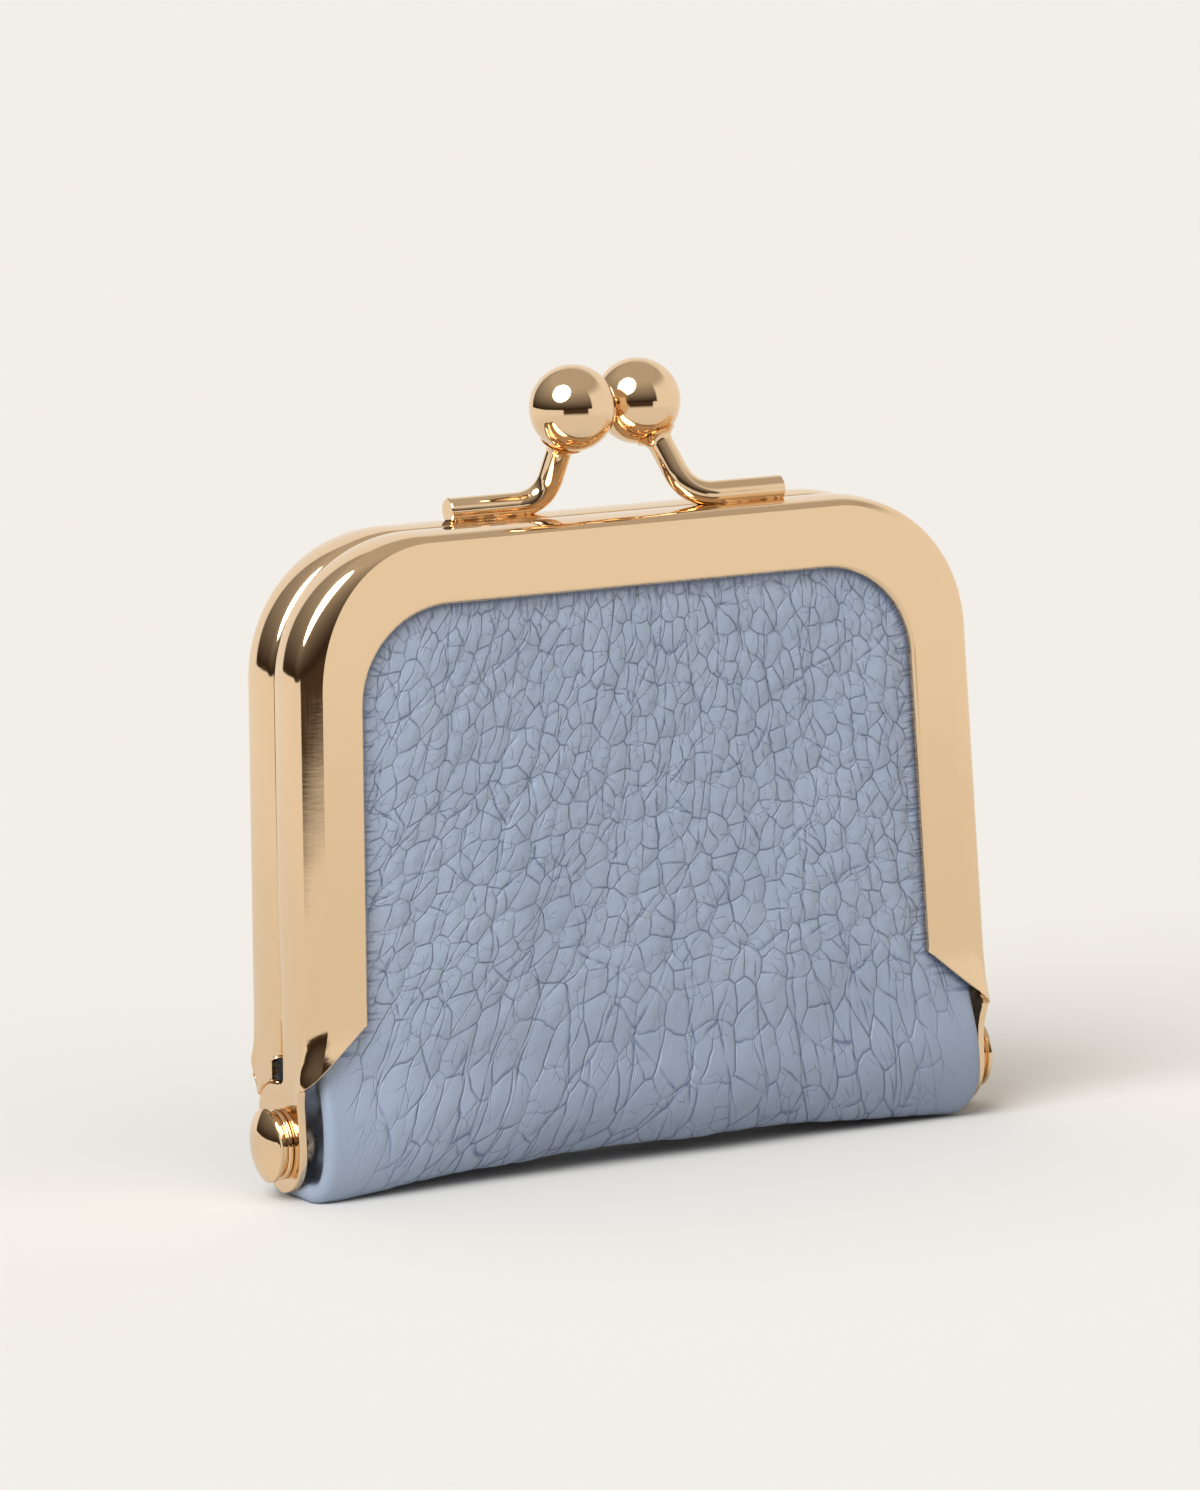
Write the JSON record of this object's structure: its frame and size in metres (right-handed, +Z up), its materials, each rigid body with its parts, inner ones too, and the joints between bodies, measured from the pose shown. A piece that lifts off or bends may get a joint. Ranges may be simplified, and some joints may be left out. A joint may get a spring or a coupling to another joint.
{
  "type": "jewelry pouch",
  "caption": "Small grained-leather jewelry pouch in a polished metal frame, whose halves turn on side rivets and snap shut with a ball-topped kiss-lock clasp.",
  "frame": {"origin": "On the plane that the pouch stands on, under the middle of its leather fold.", "axes": "+Z up, +X to the right as seen from the front, -Y towards the front, so the thickness runs along Y."},
  "size_m": [0.0734, 0.0134, 0.072],
  "materials": {
    "gold_metal": "polished pale gold plate on brass",
    "blue_leather": "pebbled dusty blue leather, satin",
    "lining_cloth": "plain woven cloth, matt",
    "grey_board": "uncoated board",
    "paper_cord": "twisted paper, matt"
  },
  "bodies": {
    "back_half": {"back_frame": "gold_metal", "back_clasp_stem": "gold_metal", "back_clasp_ball": "gold_metal", "back_leather_panel": "blue_leather", "back_stiffener": "grey_board", "back_lining": "lining_cloth", "back_channel_cord": "paper_cord", "left_hinge_rivet": "gold_metal", "left_hinge_washer": "gold_metal", "right_hinge_rivet": "gold_metal", "right_hinge_washer": "gold_metal", "base_leather": "blue_leather", "base_lining": "lining_cloth", "left_gusset": "blue_leather", "right_gusset": "blue_leather"},
    "front_half": {"front_frame": "gold_metal", "front_clasp_stem": "gold_metal", "front_clasp_ball": "gold_metal", "front_leather_panel": "blue_leather", "front_stiffener": "grey_board", "front_lining": "lining_cloth", "front_channel_cord": "paper_cord"}
  },
  "joints": [
    {"name": "front_open", "type": "hinge", "parent": "back_half", "child": "front_half", "pos_m": [0, 0, 0.0049], "axis": [1, 0, 0], "range_deg": [0, 60], "deforming": ["base_leather", "base_lining", "left_gusset", "right_gusset"]}
  ]
}
